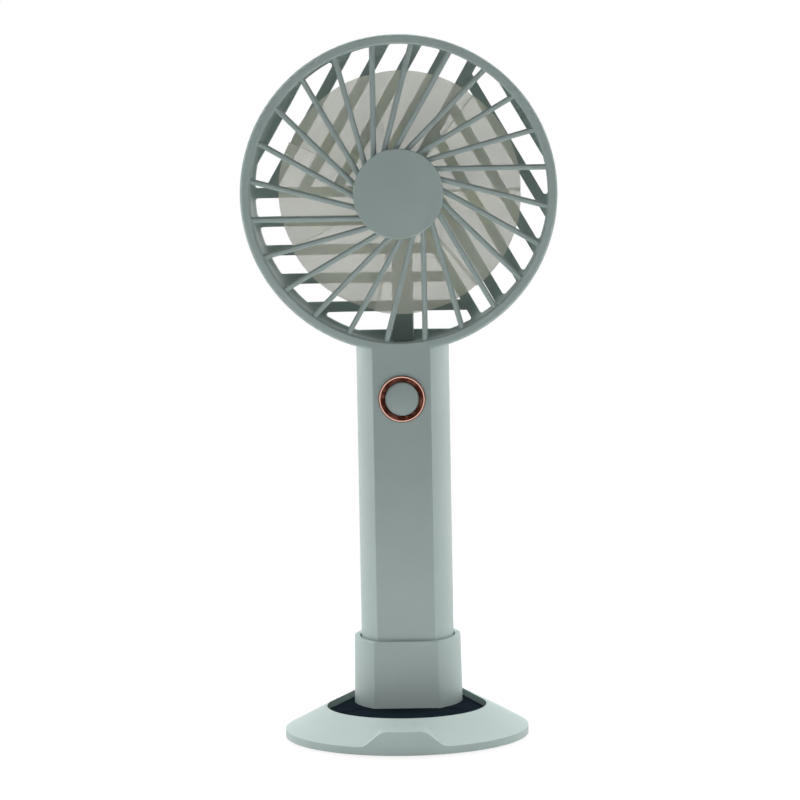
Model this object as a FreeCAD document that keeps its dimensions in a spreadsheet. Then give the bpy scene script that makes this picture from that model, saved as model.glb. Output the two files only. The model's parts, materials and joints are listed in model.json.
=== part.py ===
import FreeCAD, Part
import math
import os
import Sketcher
from FreeCAD import Placement, Rotation, Vector

# Handheld fan with a desk stand, in millimetres.
# +Z is up and -Y is the front. The origin is on the handle's axis, on the surface that the stand rests on.

# Driving dimensions: name, millimetres (or degrees, or a count), meaning
SIZES = [
    ("head_dia", "100", "outside of the head"),
    ("head_wall", "1.7", "side wall of the head"),
    ("skin_thick", "3.2", "back of the head"),
    ("head_back", "20", "parting plane to the back of the head"),
    ("bowl_round", "8", "rounding of the head's back edge"),
    ("ring_width", "3.1", "ring round the front grille, seen from the front"),
    ("ring_depth", "3.4", "ring round the front grille, front to back"),
    ("ring_round", "0.8", "rounding of the ring's front edge"),
    ("ring_bevel", "0.5", "bevel inside the ring's front edge"),
    ("grip_width", "29.6", "handle, side to side"),
    ("grip_depth", "29", "handle, front to back"),
    ("grip_flat", "18.3", "handle's front and back flats"),
    ("grip_wall", "1.8", "handle's wall"),
    ("rib_count", "24", "front ribs"),
    ("rib_offset", "7.6", "distance at which a rib's line passes the fan's axis"),
    ("rib_width", "1.7", "front rib, seen from the front"),
    ("rib_depth", "2.6", "front rib, front to back"),
    ("rib_setback", "0.6", "rib's front edge behind the ring's face"),
    ("rib_rise", "1.6", "how far a rib climbs towards the hub"),
    ("rib_ridge", "0.5", "slope of a rib's front corners"),
    ("hub_dia", "26.7", "front hub"),
    ("hub_plate", "1.3", "front hub's plate and wall"),
    ("hub_depth", "5.1", "front hub, front to back"),
    ("hub_rise", "1.8", "hub plate in front of the ring's face"),
    ("cap_dia", "28.4", "hub cap"),
    ("cap_thick", "1.2", "hub cap"),
    ("rim_strip", "3.43", "filled strip of the back grille at the head's inner wall"),
    ("bar_width", "3.35", "back grille's bar"),
    ("grille_seam", "6.3", "rim of the back grille's own piece to the head's inner wall"),
    ("bar_count", "5", "bars beyond each arm, the last one filled out to the rim"),
    ("gap_edge", "1", "solid rim of the back grille between its gaps and the head's inner wall"),
    ("gap_round", "1.4", "rounding of the back gaps' outer corners"),
    ("duct_width", "6.5", "upright wire duct"),
    ("duct_front", "9", "parting plane to the duct's open front"),
    ("slot_width", "3.2", "slot for the leads"),
    ("cover_thick", "1.2", "cover of the wire duct"),
    ("lead_dia", "1", "motor leads"),
    ("lead_pitch", "1.5", "motor leads, middle to middle"),
    ("lead_bend", "2.2", "bends of the motor leads"),
    ("lead_step", "12", "where the leads start towards the handle, above the head's inner wall"),
    ("lead_rise", "3", "passage of the leads into the duct, above the head's inner wall"),
    ("lead_end", "3", "leads' ends below the button board's top"),
    ("can_dia", "20.4", "motor can"),
    ("can_length", "12.5", "motor can"),
    ("can_wall", "0.6", "motor can"),
    ("motor_cap", "1.5", "motor's end cap"),
    ("cup_wall", "1.6", "motor cup"),
    ("cup_depth", "9", "motor cup's wall, front to back"),
    ("shaft_dia", "2", "motor shaft"),
    ("bush_dia", "5", "bushings"),
    ("bush_length", "2.6", "bushings"),
    ("magnet_thick", "2.7", "magnets"),
    ("magnet_gap", "5", "between the two magnets' ends"),
    ("air_gap", "0.3", "between armature and magnets"),
    ("core_length", "5.5", "armature core"),
    ("core_slot", "1.4", "armature core's slots"),
    ("brush_length", "2.6", "commutator"),
    ("fan_dia", "77.4", "impeller"),
    ("fan_blades", "7", "impeller"),
    ("fan_depth", "11", "blade, front to back"),
    ("fan_front", "8.6", "parting plane to the front of the impeller's hub"),
    ("blade_front", "4.6", "parting plane to the blades' front"),
    ("blade_span", "52.6", "degrees that a blade covers"),
    ("blade_thick", "1.1", "blade"),
    ("blade_drop", "0.3", "how much shorter a blade is at its two edges"),
    ("boss_depth", "6", "depth of the shaft's hole in the impeller"),
    ("fan_hub_dia", "25", "impeller's hub"),
    ("button_rise", "6", "button's centre above the middle of its board"),
    ("button_dia", "10.6", "button cap"),
    ("ring_inner", "11", "button ring"),
    ("ring_outer", "14.8", "button ring"),
    ("ring_proud", "0.7", "button ring in front of the handle"),
    ("ring_lip", "0.45", "button ring's front edge"),
    ("ring_sleeve", "1", "button ring's sleeve through the wall"),
    ("press_travel", "0.5", "button's travel"),
    ("button_proud", "0.3", "button cap in front of the handle"),
    ("plunger_dia", "3.5", "switch plunger"),
    ("plunger_length", "1.9", "switch plunger"),
    ("cell_dia", "18.4", "battery cell"),
    ("cell_length", "65", "battery cell"),
    ("cell_lift", "1.4", "battery cell above the lower bosses"),
    ("cell_clear", "0.15", "between the cell and its cradles"),
    ("tab_thick", "0.3", "battery tabs"),
    ("board_thick", "1.6", "button board"),
    ("board_width", "19", "button board"),
    ("board_length", "24", "button board"),
    ("board_gap", "4.5", "button board above the battery cell"),
    ("board_front", "8", "parting plane to the button board's front"),
    ("switch_size", "6.2", "tact switch"),
    ("charge_width", "16", "charge board"),
    ("charge_length", "16", "charge board"),
    ("charge_gap", "6.5", "charge board above the battery cell"),
    ("charge_front", "5.8", "parting plane to the charge board's front"),
    ("charge_thick", "1.2", "charge board"),
    ("light_dia", "2.4", "charge light"),
    ("port_drop", "3", "charging socket below the charge board's middle"),
    ("light_rise", "4", "charge light above the charge board's middle"),
    ("port_width", "9", "charging socket"),
    ("port_height", "3.2", "charging socket"),
    ("boss_dia", "6.2", "screw bosses"),
    ("boss_side", "6.2", "screw bosses, from the middle"),
    ("boss_lift", "0.3", "lower bosses above the end cap's spigot"),
    ("boss_gap", "0.7", "upper bosses above the button board"),
    ("neck_gap", "1.9", "head above the upper bosses"),
    ("screw_dia", "2", "screws"),
    ("screw_head", "3.8", "screw heads"),
    ("head_thick", "1.5", "shell screws' heads"),
    ("head_sink", "2.2", "shell screws' heads below the inside of the wall"),
    ("board_bite", "3", "board screws' thread in the posts"),
    ("screw_length", "17", "shell screws' shank"),
    ("screw_clear", "0.1", "round a screw, and between its thread and its pilot hole"),
    ("end_thick", "2", "handle's end cap"),
    ("spigot_length", "2.6", "end cap's spigot"),
    ("fit_clear", "0.2", "round inserted pieces"),
    ("run_clear", "0.03", "shaft in its bushings"),
    ("pad_thick", "0.5", "foot pad"),
    ("plate_thick", "1.4", "base plate"),
    ("weight_thick", "1.5", "base weight"),
    ("floor_thick", "1.8", "floor of the stand's recess"),
    ("floor_top", "6.8", "top of the recess's floor above the ground"),
    ("mat_thick", "0.8", "mat in the recess"),
    ("rim_height", "2.35", "upright rim of the stand"),
    ("slope_height", "6.8", "sloped band of the stand"),
    ("slope_width", "13.2", "sloped band of the stand"),
    ("base_radius", "38.4", "front of the stand, seen from above"),
    ("base_offset", "20.8", "handle's axis behind the middle of the stand's front arc"),
    ("recess_back", "16.6", "back of the recess, seen from above"),
    ("tail_offset", "6.5", "middle of the stand's back arc behind the handle's axis"),
    ("base_wall", "4.6", "stand's rim"),
    ("tab_foot", "30.4", "front tab, at its foot"),
    ("tab_head", "13.4", "front tab, at its top"),
    ("tab_height", "7.85", "front tab's top above the ground"),
    ("tab_round", "4.8", "rounding of the front tab's corners"),
    ("socket_clear", "0.4", "between the handle and the socket"),
    ("socket_wall", "1.8", "socket collar's wall at its rim"),
    ("socket_flare", "0.4", "extra wall at the collar's foot"),
    ("socket_top", "28.9", "collar's rim above the ground"),
    ("socket_flange", "3", "flange under the recess's floor"),
    ("socket_pad", "0.6", "pad under the handle"),
    ("grip_base", "8", "lower end of the handle's shells above the ground"),
]

doc = FreeCAD.newDocument("fan")
sheet = doc.addObject("Spreadsheet::Sheet", "Sizes")
for row, (alias, value, meaning) in enumerate(SIZES, start=1):
    sheet.set("A%d" % row, alias)
    sheet.set("B%d" % row, value)
    sheet.set("C%d" % row, meaning)
    sheet.setAlias("B%d" % row, alias)
doc.recompute()


class Size:
    """A number together with the sheet formula that it comes from."""

    def __init__(self, value, text):
        self.value = float(value)
        self.text = text

    def __add__(self, other):
        other = size(other)
        return Size(self.value + other.value, "(%s + %s)" % (self.text, other.text))

    def __sub__(self, other):
        other = size(other)
        return Size(self.value - other.value, "(%s - %s)" % (self.text, other.text))

    def __mul__(self, other):
        other = size(other)
        return Size(self.value * other.value, "%s * %s" % (self.text, other.text))

    def __truediv__(self, other):
        other = size(other)
        return Size(self.value / other.value, "%s / %s" % (self.text, other.text))

    def __neg__(self):
        return Size(-self.value, "(0 - %s)" % self.text)

    def __radd__(self, other):
        return size(other) + self

    def __rsub__(self, other):
        return size(other) - self

    def __rmul__(self, other):
        return size(other) * self

    def __rtruediv__(self, other):
        return size(other) / self


def size(number):
    """A Size as it is, or a plain number as a Size."""
    if isinstance(number, Size):
        return number
    if number < 0:
        return Size(number, "(0 - %.9g)" % -number)
    return Size(number, "%.9g" % number)


def group(number):
    """A Size whose formula stands in brackets."""
    number = size(number)
    return Size(number.value, "(%s)" % number.text)


def sine(angle):
    return Size(math.sin(math.radians(angle.value)), "sin(%s)" % angle.text)


def cosine(angle):
    return Size(math.cos(math.radians(angle.value)), "cos(%s)" % angle.text)


def tangent(angle):
    return Size(math.tan(math.radians(angle.value)), "tan(%s)" % angle.text)


def root(number):
    return Size(math.sqrt(number.value), "sqrt(%s)" % number.text)


def named(alias):
    return Size(sheet.get(alias), "Sizes." + alias)


S = {alias: named(alias) for alias, value, meaning in SIZES}

# Sizes worked out from the driving ones
head_r = S["head_dia"] / 2
bore_r = group(head_r - S["head_wall"])
ring_r = group(head_r - S["ring_width"])
half_depth = S["grip_depth"] / 2
front = -half_depth
skin_y = group(S["head_back"] - S["skin_thick"])
cup_r = S["can_dia"] / 2 + S["screw_clear"] + S["cup_wall"]
shaft_r = S["shaft_dia"] / 2
screw_r = S["screw_dia"] / 2
pilot_r = screw_r + S["screw_clear"] / 2
boss_r = S["boss_dia"] / 2
cell_r = S["cell_dia"] / 2
boss_low = group(S["grip_base"] + S["spigot_length"] + S["boss_lift"] + boss_r)
cell_bottom = group(boss_low + boss_r + S["cell_lift"])
cell_top = group(cell_bottom + S["cell_length"])
board_z = group(cell_top + S["board_gap"] + S["board_length"] / 2)
board_top = group(board_z + S["board_length"] / 2)
button_z = group(board_z + S["button_rise"])
charge_z = group(cell_top + S["charge_gap"] + S["charge_length"] / 2)
boss_high = group(board_top + S["boss_gap"] + boss_r)
axis_z = group(boss_high + boss_r + S["neck_gap"] + head_r)
bar_pitch = group(group(bore_r - S["rim_strip"] + S["bar_width"] / 2) / S["bar_count"])
base_floor = S["pad_thick"] + S["plate_thick"] + S["weight_thick"]
rim_top = S["pad_thick"] + S["rim_height"]
base_top = rim_top + S["slope_height"]
base_front = -(S["base_offset"])
inner_wall_y = group(half_depth - S["grip_wall"])
cavity_top = group(axis_z - head_r - 1)
hub_r = S["hub_dia"] / 2
grille_r = group(bore_r - S["grille_seam"])
gap_r = group(bore_r - S["gap_edge"])
recess_front = group(S["base_radius"] - S["slope_width"])
socket_head = group(S["socket_clear"] + S["socket_wall"])
socket_foot = group(socket_head + S["socket_flare"])
base_screw_length = group(base_floor - S["pad_thick"] + 2)
mat_top = group(S["floor_top"] + S["mat_thick"])
grip_end = group(S["grip_base"] - S["end_thick"])
pad_z = group(grip_end - S["socket_pad"])
sleeve_r = group(S["ring_inner"] / 2 + S["ring_sleeve"])
sink_depth = group(S["grip_wall"] + S["head_sink"])
shank_in_back = group(half_depth - sink_depth)
charge_back = group(S["charge_front"] + S["charge_thick"])
port_z = charge_z - S["port_drop"]
light_z = charge_z + S["light_rise"]
light_r = S["light_dia"] / 2
button_front = group(front - S["button_proud"])
button_back = group(front + S["grip_wall"] + 1)
switch_front = group(button_back + S["press_travel"] + 0.2)
plunger_r = S["plunger_dia"] / 2
can_r = S["can_dia"] / 2
can_back = group(skin_y - S["motor_cap"])
can_front = group(can_back - S["can_length"])
bush_r = S["bush_dia"] / 2
bush_hole = group(shaft_r + S["run_clear"])
rear_bush = group(skin_y - 0.6 - S["bush_length"])
core_back = group(rear_bush - S["brush_length"] - 0.8)
core_front = group(core_back - S["core_length"])
magnet_in = group(can_r - S["can_wall"] - S["magnet_thick"])
core_r = group(magnet_in - S["air_gap"])
shaft_end = group(-S["fan_front"] + 2)

finished = []


def finish(name, obj):
    """Names a finished sub-part."""
    obj.Label = name
    finished.append((name, obj))
    return obj


def bind(obj, **values):
    """Sets properties from sizes and ties them to the sheet."""
    for prop, number in values.items():
        number = size(number)
        setattr(obj, prop, number.value)
        if "Sizes." in number.text:
            obj.setExpression(prop, number.text)


def place(obj, x=0, y=0, z=0, rotation=None):
    """Places an object at a point given by sizes."""
    x, y, z = size(x), size(y), size(z)
    turn = rotation if rotation else Rotation()
    obj.Placement = Placement(Vector(x.value, y.value, z.value), turn)
    for letter, number in (("x", x), ("y", y), ("z", z)):
        if "Sizes." in number.text:
            obj.setExpression("Placement.Base." + letter, number.text)
    return obj


TO_BACK = Rotation(Vector(1, 0, 0), -90)
FRONT_PLANE = Rotation(Vector(1, 0, 0), 90)
SIDE_PLANE = Rotation(Vector(1, 1, 1), 120)


def box(name, length_x, length_y, length_z, x, y, z):
    """A block whose lowest corner is at x, y, z."""
    obj = doc.addObject("Part::Box", name)
    bind(obj, Length=length_x, Width=length_y, Height=length_z)
    return place(obj, x, y, z)


def rod(name, radius, length, x, y, z, upright=False):
    """A cylinder that runs towards the back, or up."""
    obj = doc.addObject("Part::Cylinder", name)
    bind(obj, Radius=radius, Height=length)
    return place(obj, x, y, z, None if upright else TO_BACK)


def fuse(name, *shapes):
    obj = doc.addObject("Part::MultiFuse", name)
    obj.Shapes = list(shapes)
    return obj


def common(name, *shapes):
    obj = doc.addObject("Part::MultiCommon", name)
    obj.Shapes = list(shapes)
    return obj


def cut(name, base, *tools):
    obj = doc.addObject("Part::Cut", name)
    obj.Base = base
    obj.Tool = tools[0] if len(tools) == 1 else fuse(name + "_tools", *tools)
    return obj


def loose(name, *solids):
    """Identical pieces that share a node as separate solids."""
    obj = doc.addObject("Part::Compound", name)
    obj.Links = list(solids)
    return obj


def pin_point(sketch, index, pos, x, y):
    """Ties one vertex of a sketch to sheet formulas."""
    for kind, number, axis in (("DistanceX", size(x), -2), ("DistanceY", size(y), -1)):
        if abs(number.value) < 1e-9:
            sketch.addConstraint(Sketcher.Constraint("PointOnObject", index, pos, axis))
            continue
        datum = sketch.addConstraint(Sketcher.Constraint(kind, -1, 1, index, pos, number.value))
        if "Sizes." in number.text:
            sketch.setExpression("Constraints[%d]" % datum, number.text)


def arc_between(start, end, radius, ccw, large):
    """An arc of a circle as a sketch takes it, with the end that it starts from."""
    middle = (start + end) * 0.5
    chord = end - start
    half = chord.Length / 2
    rise = math.sqrt(max(radius * radius - half * half, 0))
    left = Vector(-chord.y, chord.x, 0).normalize()
    side = 1 if ccw else -1
    if large:
        side = -side
    centre = middle + left * (rise * side)
    first = math.atan2((start - centre).y, (start - centre).x)
    last = math.atan2((end - centre).y, (end - centre).x)
    circle = Part.Circle(centre, Vector(0, 0, 1), radius)
    if ccw:
        return Part.ArcOfCircle(circle, first, last), 1, 2
    return Part.ArcOfCircle(circle, last, first), 2, 1


def draw(sketch, outline):
    """Draws one closed outline. A point (x, y) ends a line; (x, y, radius, way) ends an arc."""
    corners = [Vector(size(p[0]).value, size(p[1]).value, 0) for p in outline]
    ends = []
    for number, point in enumerate(outline):
        start, end = corners[number - 1], corners[number]
        if len(point) == 2:
            index = sketch.addGeometry(Part.LineSegment(start, end), False)
            ends.append((index, 1, 2))
            continue
        radius, way = size(point[2]), point[3]
        arc, first, last = arc_between(start, end, radius.value, way.startswith("ccw"), way.endswith("large"))
        index = sketch.addGeometry(arc, False)
        ends.append((index, first, last))
    for number in range(len(ends)):
        before, after = ends[number - 1], ends[number]
        sketch.addConstraint(Sketcher.Constraint("Coincident", before[0], before[2], after[0], after[1]))
    for number, point in enumerate(outline):
        pin_point(sketch, ends[number][0], ends[number][2], point[0], point[1])
        if len(point) == 4:
            radius = size(point[2])
            datum = sketch.addConstraint(Sketcher.Constraint("Radius", ends[number][0], radius.value))
            if "Sizes." in radius.text:
                sketch.setExpression("Constraints[%d]" % datum, radius.text)


def draw_circle(sketch, x, y, radius):
    """Draws one circle."""
    x, y, radius = size(x), size(y), size(radius)
    circle = Part.Circle(Vector(x.value, y.value, 0), Vector(0, 0, 1), radius.value)
    index = sketch.addGeometry(circle, False)
    pin_point(sketch, index, 3, x, y)
    datum = sketch.addConstraint(Sketcher.Constraint("Radius", index, radius.value))
    if "Sizes." in radius.text:
        sketch.setExpression("Constraints[%d]" % datum, radius.text)


def free_sketch(name, outlines=(), circles=(), rotation=None, x=0, y=0, z=0):
    """A sketch outside a body, on a plane through x, y, z."""
    sketch = doc.addObject("Sketcher::SketchObject", name)
    place(sketch, x, y, z, rotation)
    for outline in outlines:
        draw(sketch, outline)
    for circle in circles:
        draw_circle(sketch, *circle)
    return sketch


def extrude(name, sketch, length, direction=(0, 0, 1)):
    """A sketch pushed out along a direction."""
    obj = doc.addObject("Part::Extrusion", name)
    obj.Base = sketch
    obj.DirMode = "Custom"
    obj.Dir = Vector(*direction)
    obj.Solid = True
    bind(obj, LengthFwd=length)
    return obj


def turn_round(name, outline, y=0, z=axis_z, x=0):
    """An outline of (y, radius) points turned about a line that runs front to back."""
    sketch = free_sketch(name + "_profile", [outline], rotation=SIDE_PLANE, x=x, y=y, z=z)
    obj = doc.addObject("Part::Revolution", name)
    obj.Source = sketch
    obj.Axis = Vector(0, 1, 0)
    obj.Angle = 360
    obj.Solid = True
    place_centre = (size(x), size(y), size(z))
    obj.Base = Vector(*[number.value for number in place_centre])
    for letter, number in zip("xyz", place_centre):
        if "Sizes." in number.text:
            obj.setExpression("Base." + letter, number.text)
    return obj


def tube(name, outer, inner, length, x, y, z):
    """A round tube that runs towards the back."""
    return turn_round(name, [(0, inner), (length, inner), (length, outer), (0, outer)], x=x, y=y, z=z)


# Outlines of the handle

def grip_numbers(offset):
    """Half flat, half width, half depth and radius of the bulging sides, moved out by offset."""
    width = S["grip_width"] / 2
    bulge = group(width - S["grip_flat"] / 2)
    radius = group(group(bulge * bulge + half_depth * half_depth) / group(bulge * 2))
    depth, outer = group(half_depth + offset), group(radius + offset)
    flat = group(width - radius + root(group(outer * outer - depth * depth)))
    return flat, group(width + offset), depth, outer


def grip_outline(offset):
    """The handle's whole section, moved out by offset."""
    flat, width, depth, radius = grip_numbers(offset)
    return [(flat, -depth), (flat, depth, radius, "ccw"), (-flat, depth), (-flat, -depth, radius, "ccw")]


def half_grip_outline(offset, side):
    """The front (side -1) or back (side 1) half of the handle's section."""
    flat, width, depth, radius = grip_numbers(offset)
    way = "ccw" if side < 0 else "cw"
    return [(flat, depth * side), (width, 0, radius, way), (-width, 0), (-flat, depth * side, radius, way)]


def grip_block(name, offset, bottom, height, outline=None):
    """A block with the handle's section."""
    sketch = free_sketch(name + "_section", [outline if outline else grip_outline(offset)], z=bottom)
    return extrude(name, sketch, height)


# Outlines of the stand

def egg_outline(front_radius, back_radius):
    """The stand's outline: a front arc and a smaller back arc, joined by tangents."""
    lean = group(group(front_radius - back_radius) / group(S["base_offset"] + S["tail_offset"]))
    out = root(group(1 - lean * lean))
    front_x, front_y = front_radius * out, base_front + front_radius * lean
    back_x, back_y = back_radius * out, S["tail_offset"] + back_radius * lean
    return [(front_x, front_y, front_radius, "ccw large"), (back_x, back_y),
            (-back_x, back_y, back_radius, "ccw"), (-front_x, front_y)]


def egg_sketch(name, front_radius, z, inset=0):
    """A sketch of the stand's outline at height z, level with the recess's edge or further out."""
    back_radius = group(S["recess_back"] + group(front_radius - recess_front))
    return free_sketch(name, [egg_outline(group(front_radius - inset), group(back_radius - inset))], z=z)


def egg_block(name, front_radius, z, height, inset=0):
    return extrude(name, egg_sketch(name + "_outline", front_radius, z, inset), height)


# Base shell

def stand_screw_points():
    """Where the four base screws go: in the middle of the band's thick part."""
    ring = group(S["base_radius"] - S["slope_width"] * 0.62)
    back_ring = group(S["recess_back"] + S["slope_width"] * 0.38)
    side = ring * 0.8
    back_side = back_ring * 0.8
    points = []
    for sign in (-1, 1):
        points.append((side * sign, base_front - ring * 0.6))
        points.append((back_side * sign, S["tail_offset"] + back_ring * 0.6))
    return points


def tab_outline():
    """The front tab seen from the front: slanted sides that run out softly into the rim and the top."""
    foot, head, top, low = S["tab_foot"] / 2, S["tab_head"] / 2, S["tab_height"], S["pad_thick"]
    across, rise = group(foot - head), group(top - low)
    slant = root(group(across * across + rise * rise))
    cos_side, sin_side = group(across / slant), group(rise / slant)
    reach = S["tab_round"] * sin_side / group(1 + cos_side)
    corner = group(foot - across * S["rim_height"] / rise)
    side = [(corner + reach, low), (corner + reach, rim_top),
            (corner - reach * cos_side, rim_top + reach * sin_side, S["tab_round"], "cw"),
            (head + reach * cos_side, top - reach * sin_side),
            (head - reach, top, S["tab_round"], "ccw")]
    mirrored = [(-(head - reach), top),
                (-(head + reach * cos_side), top - reach * sin_side, S["tab_round"], "ccw"),
                (-(corner - reach * cos_side), rim_top + reach * sin_side),
                (-(corner + reach), rim_top, S["tab_round"], "cw"), (-(corner + reach), low)]
    return side + mirrored


def make_base_shell():
    rim = egg_block("base_rim", S["base_radius"], S["pad_thick"], S["rim_height"])
    slope = doc.addObject("Part::Loft", "base_slope")
    slope.Sections = [egg_sketch("slope_foot", S["base_radius"], rim_top),
                      egg_sketch("slope_head", recess_front, base_top)]
    slope.Solid = True
    slope.Ruled = True
    tab_face = free_sketch("tab_face", [tab_outline()], rotation=FRONT_PLANE, y=base_front - recess_front)
    tab_prism = extrude("tab_prism", tab_face, S["slope_width"] + 1, (0, -1, 0))
    tab_limit = rod("tab_limit", S["base_radius"], base_top, 0, base_front, S["pad_thick"], upright=True)
    tab = common("front_tab", tab_prism, tab_limit)
    body = fuse("base_body", rim, slope, tab)
    recess = egg_block("recess", recess_front, S["floor_top"], base_top, 0)
    floor_space = S["floor_top"] - S["floor_thick"] - S["pad_thick"]
    under = egg_block("under_floor", recess_front, S["pad_thick"], floor_space, -S["fit_clear"])
    plate_space = base_floor - S["pad_thick"]
    plates = egg_block("under_plates", S["base_radius"], S["pad_thick"], plate_space, S["base_wall"])
    hole = grip_block("collar_hole", socket_foot + S["fit_clear"], S["pad_thick"], base_top)
    flange = grip_block("flange_space", socket_foot + S["socket_flange"] + S["fit_clear"], S["pad_thick"],
                        floor_space)
    pilots = [rod("base_pilot_%d" % number, pilot_r, base_screw_length + 0.3, x, y, S["pad_thick"],
                  upright=True)
              for number, (x, y) in enumerate(stand_screw_points())]
    finish("base_shell", cut("base_shell", body, recess, under, plates, hole, flange, *pilots))


def make_base_mat():
    mat = egg_block("mat_blank", recess_front, S["floor_top"], S["mat_thick"], S["fit_clear"])
    hole = grip_block("mat_hole", socket_foot + S["fit_clear"], S["floor_top"], S["mat_thick"])
    groove = turn_upright("mat_groove", recess_front * 1.02, 0, base_front * 2 + 2, 0.5)
    finish("base_mat", cut("base_mat", mat, hole, groove))


def turn_upright(name, radius, x, y, width):
    """A shallow ring-shaped groove cutter in the mat's top."""
    outer = rod(name + "_outer", radius + width, S["mat_thick"], x, y, mat_top - S["mat_thick"] / 2,
                upright=True)
    inner = rod(name + "_inner", radius, S["mat_thick"] * 2, x, y, mat_top - S["mat_thick"], upright=True)
    return cut(name, outer, inner)


def make_base_plate():
    z = S["pad_thick"]
    plate = egg_block("plate_blank", S["base_radius"], z, S["plate_thick"], S["base_wall"] + S["fit_clear"])
    tools = []
    for number, (x, y) in enumerate(stand_screw_points()):
        tools.append(rod("plate_hole_%d" % number, screw_r + S["screw_clear"], S["plate_thick"], x, y, z,
                         upright=True))
        tools.append(rod("plate_sink_%d" % number, S["screw_head"] / 2 + S["screw_clear"],
                         S["plate_thick"] / 2, x, y, z, upright=True))
    finish("base_plate", cut("base_plate", plate, *tools))


def make_base_weight():
    z = S["pad_thick"] + S["plate_thick"]
    plate = egg_block("weight_blank", S["base_radius"], z, S["weight_thick"], S["base_wall"] + S["fit_clear"])
    tools = [rod("weight_hole_%d" % number, screw_r + S["screw_clear"], S["weight_thick"], x, y, z,
                 upright=True)
             for number, (x, y) in enumerate(stand_screw_points())]
    finish("base_weight", cut("base_weight", plate, *tools))


def make_base_screws():
    screws = []
    for number, (x, y) in enumerate(stand_screw_points()):
        head = rod("base_screw_head_%d" % number, S["screw_head"] / 2, S["plate_thick"] / 2, x, y,
                   S["pad_thick"], upright=True)
        shank = rod("base_screw_shank_%d" % number, screw_r, base_screw_length, x, y, S["pad_thick"],
                    upright=True)
        screws.append(fuse("base_screw_%d" % number, head, shank))
    finish("base_screws", loose("base_screws", *screws))


def make_foot_pad():
    finish("foot_pad", egg_block("foot_pad", S["base_radius"], 0, S["pad_thick"], S["base_wall"] + 1))


# Socket collar

def make_socket_collar():
    foot_z = base_floor
    loft = doc.addObject("Part::Loft", "collar_wall")
    loft.Sections = [free_sketch("collar_foot", [grip_outline(socket_foot)], z=S["floor_top"]),
                     free_sketch("collar_head", [grip_outline(socket_head)], z=S["socket_top"])]
    loft.Solid = True
    loft.Ruled = True
    stem = grip_block("collar_stem", socket_foot, foot_z, S["floor_top"] - foot_z)
    flange = grip_block("collar_flange", socket_foot + S["socket_flange"], foot_z,
                        S["floor_top"] - S["floor_thick"] - foot_z)
    body = fuse("collar_body", loft, stem, flange)
    inside = grip_block("collar_inside", S["socket_clear"], pad_z, S["socket_top"])
    finish("socket_collar", cut("socket_collar", body, inside))


def make_socket_pad():
    finish("socket_pad", grip_block("socket_pad", -S["grip_wall"], pad_z, S["socket_pad"]))


# Handle and head shells

def shell_screw_points():
    return [(S["boss_side"] * sign, z) for z in (boss_low, boss_high) for sign in (-1, 1)]


def board_post_points():
    side = group(S["board_width"] / 2 - 1.6)
    up = group(S["board_length"] / 2 - 2.2)
    return [(side * sign, board_z + up * level) for level in (-1, 1) for sign in (-1, 1)]


def cradle_plates(name, side):
    """Two plates across the inside of one handle half that hold the cell."""
    plates = []
    for number, share in enumerate((0.2, 0.8)):
        z = cell_bottom + S["cell_length"] * share
        plates.append(grip_block("%s_cradle_%d" % (name, number), 0, z, S["grip_wall"],
                                 half_grip_outline(-(S["grip_wall"] / 2), side)))
    return plates


def half_grip(name, side):
    """One half of the handle, running up into the head."""
    top = axis_z - bore_r + S["head_wall"]
    return grip_block(name, 0, S["grip_base"], top - S["grip_base"], half_grip_outline(0, side))


def grip_cavity(name):
    return grip_block(name, -S["grip_wall"], S["grip_base"], cavity_top - S["grip_base"])


def inside_grip(name, carriers):
    """Bosses and posts, trimmed to the middle of the handle's wall."""
    limit = grip_block(name + "_limit", -(S["grip_wall"] / 2), S["grip_base"], cavity_top - S["grip_base"])
    return common(name, fuse(name + "_all", *carriers), limit)


def cell_space(name):
    return rod(name, cell_r + S["cell_clear"], S["cell_length"] + 2, 0, 0, cell_bottom - 1, upright=True)


def make_rib():
    """One front rib: a ridge that climbs from the ring to the hub."""
    sections = []
    half, ridge = S["rib_width"] / 2, S["rib_ridge"]
    inner = root(group(hub_r * hub_r - S["rib_offset"] * S["rib_offset"])) - S["hub_plate"] / 2
    outer = root(group(ring_r * ring_r - S["rib_offset"] * S["rib_offset"])) + S["ring_width"] / 3
    for name, reach, climb in (("rib_inner", inner, S["rib_rise"]), ("rib_outer", outer, size(0))):
        face = group(front + S["rib_setback"] - climb)
        back = face + S["rib_depth"]
        outline = [(-half, face + ridge), (ridge - half, face), (half - ridge, face), (half, face + ridge),
                   (half, back), (-half, back)]
        outline = [(x - S["rib_offset"], y) for x, y in outline]
        sections.append(free_sketch(name, [outline], z=axis_z + reach))
    rib = doc.addObject("Part::Loft", "rib_0")
    rib.Sections = sections
    rib.Solid = True
    rib.Ruled = True
    return rib


def make_front_ribs():
    """All front ribs: copies of the first one turned about the fan's axis."""
    first = make_rib()
    doc.recompute()
    ribs = []
    centre = Vector(0, 0, axis_z.value)
    count = int(S["rib_count"].value)
    for number in range(count):
        turned = first.Shape.copy()
        turned.rotate(centre, Vector(0, 1, 0), 360.0 * number / count)
        ribs.append(turned)
    pattern = doc.addObject("Part::Feature", "front_ribs")
    pattern.Shape = Part.makeCompound(ribs)
    return pattern


def make_front_grille():
    """The ribs and the hub in one piece, trimmed to the inside of the ring."""
    face, back = group(front - S["hub_rise"]), group(front - S["hub_rise"] + S["hub_depth"])
    plate = S["hub_plate"]
    hub = turn_round("front_hub", [(face, 0), (face, hub_r), (back, hub_r), (back, hub_r - plate),
                                   (face + plate, hub_r - plate), (face + plate, 0)])
    inside = rod("inside_ring", ring_r, S["hub_rise"] - front, 0, front - S["hub_rise"], axis_z)
    finish("front_grille", common("front_grille", fuse("grille_blank", make_front_ribs(), hub), inside))


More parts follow.
